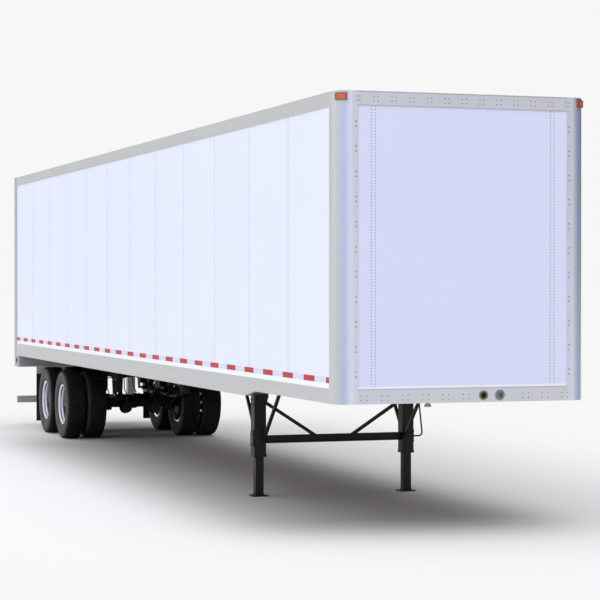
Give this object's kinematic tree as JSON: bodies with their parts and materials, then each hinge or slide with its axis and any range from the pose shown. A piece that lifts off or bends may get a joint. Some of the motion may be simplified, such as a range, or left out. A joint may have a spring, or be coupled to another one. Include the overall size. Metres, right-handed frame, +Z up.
{
  "type": "semi trailer",
  "caption": "Long box-shaped dry van semi trailer with rounded nose corners, kingpin, landing gear, sliding tandem on twin wheels and swinging rear doors.",
  "frame": {"origin": "on the ground, under the middle of the body's length and width", "axes": "+X to the nose, +Y to the left side, +Z up; the kingpin points down, -Z"},
  "size_m": [16.2319, 2.591, 4.182],
  "materials": {
    "wall_panel": "smooth white coil-painted skin",
    "front_panel": "smooth white coil-painted skin",
    "roof_sheet": "white sheet on galvanised bows",
    "floor_boards": "oiled hardwood strips",
    "galvanised_steel": "dull galvanised",
    "rail_aluminium": "satin extruded",
    "black_steel": "semi-gloss black paint",
    "bare_steel": "machined and greased",
    "rear_frame_steel": "grey painted and galvanised",
    "amber_lens": "clear amber lens",
    "red_lens": "clear red lens",
    "coupling_brass": "dull cast",
    "coupling_grey": "moulded",
    "spring_steel": "black painted leaves",
    "flap_rubber": "matt moulded",
    "door_panel": "smooth white coil-painted skin",
    "zinc_hardware": "zinc plated",
    "tyre_rubber": "matt",
    "wheel_aluminium": "polished forged"
  },
  "bodies": {
    "trailer_body": {"left_side_wall": "wall_panel", "right_side_wall": "wall_panel", "front_wall": "front_panel", "roof": "roof_sheet", "floor": "floor_boards", "crossmembers": "galvanised_steel", "top_side_rails": "rail_aluminium", "bottom_side_rails": "rail_aluminium", "front_corner_posts": "rail_aluminium", "front_top_rail": "rail_aluminium", "front_bottom_rail": "rail_aluminium", "upper_coupler": "black_steel", "kingpin": "bare_steel", "rear_corner_posts": "rear_frame_steel", "rear_header": "rear_frame_steel", "rear_sill": "rear_frame_steel", "rear_impact_guard": "rear_frame_steel", "leg_housings": "black_steel", "landing_legs": "black_steel", "landing_gear_braces": "black_steel", "crank_handle": "black_steel", "body_slide_rails": "black_steel", "front_marker_lamps": "amber_lens", "rear_lamps": "red_lens", "air_coupling": "coupling_brass", "electric_coupling": "coupling_grey"},
    "tandem": {"slider_frame": "black_steel", "spring_hangers": "black_steel", "leaf_springs": "spring_steel", "axles": "black_steel", "brake_chambers": "black_steel", "air_tank": "black_steel", "mud_flaps": "flap_rubber", "mud_flap_brackets": "rail_aluminium"},
    "front_left_wheel_set": {"front_left_tyres": "tyre_rubber", "front_left_wheels": "wheel_aluminium"},
    "front_right_wheel_set": {"front_right_tyres": "tyre_rubber", "front_right_wheels": "wheel_aluminium"},
    "rear_left_wheel_set": {"rear_left_tyres": "tyre_rubber", "rear_left_wheels": "wheel_aluminium"},
    "rear_right_wheel_set": {"rear_right_tyres": "tyre_rubber", "rear_right_wheels": "wheel_aluminium"},
    "left_rear_door": {"left_door": "door_panel", "left_door_hardware": "zinc_hardware"},
    "right_rear_door": {"right_door": "door_panel", "right_door_hardware": "zinc_hardware"}
  },
  "joints": [
    {"name": "tandem_slide", "type": "slide", "parent": "trailer_body", "child": "tandem", "axis": [1, 0, 0], "range_m": [-0.85, 1.219]},
    {"name": "front_left_wheel_spin", "type": "hinge", "parent": "tandem", "child": "front_left_wheel_set", "pos_m": [-4.663, 0.911, 0.524], "axis": [0, 1, 0], "continuous": true},
    {"name": "front_right_wheel_spin", "type": "hinge", "parent": "tandem", "child": "front_right_wheel_set", "pos_m": [-4.663, -0.911, 0.524], "axis": [0, 1, 0], "continuous": true},
    {"name": "rear_left_wheel_spin", "type": "hinge", "parent": "tandem", "child": "rear_left_wheel_set", "pos_m": [-5.913, 0.911, 0.524], "axis": [0, 1, 0], "continuous": true},
    {"name": "rear_right_wheel_spin", "type": "hinge", "parent": "tandem", "child": "rear_right_wheel_set", "pos_m": [-5.913, -0.911, 0.524], "axis": [0, 1, 0], "continuous": true},
    {"name": "left_door_hinge", "type": "hinge", "parent": "trailer_body", "child": "left_rear_door", "pos_m": [-8.134, 1.2775, 2.69], "axis": [0, 0, -1], "range_deg": [0, 270]},
    {"name": "right_door_hinge", "type": "hinge", "parent": "trailer_body", "child": "right_rear_door", "pos_m": [-8.134, -1.2775, 2.69], "axis": [0, 0, 1], "range_deg": [0, 270]}
  ]
}
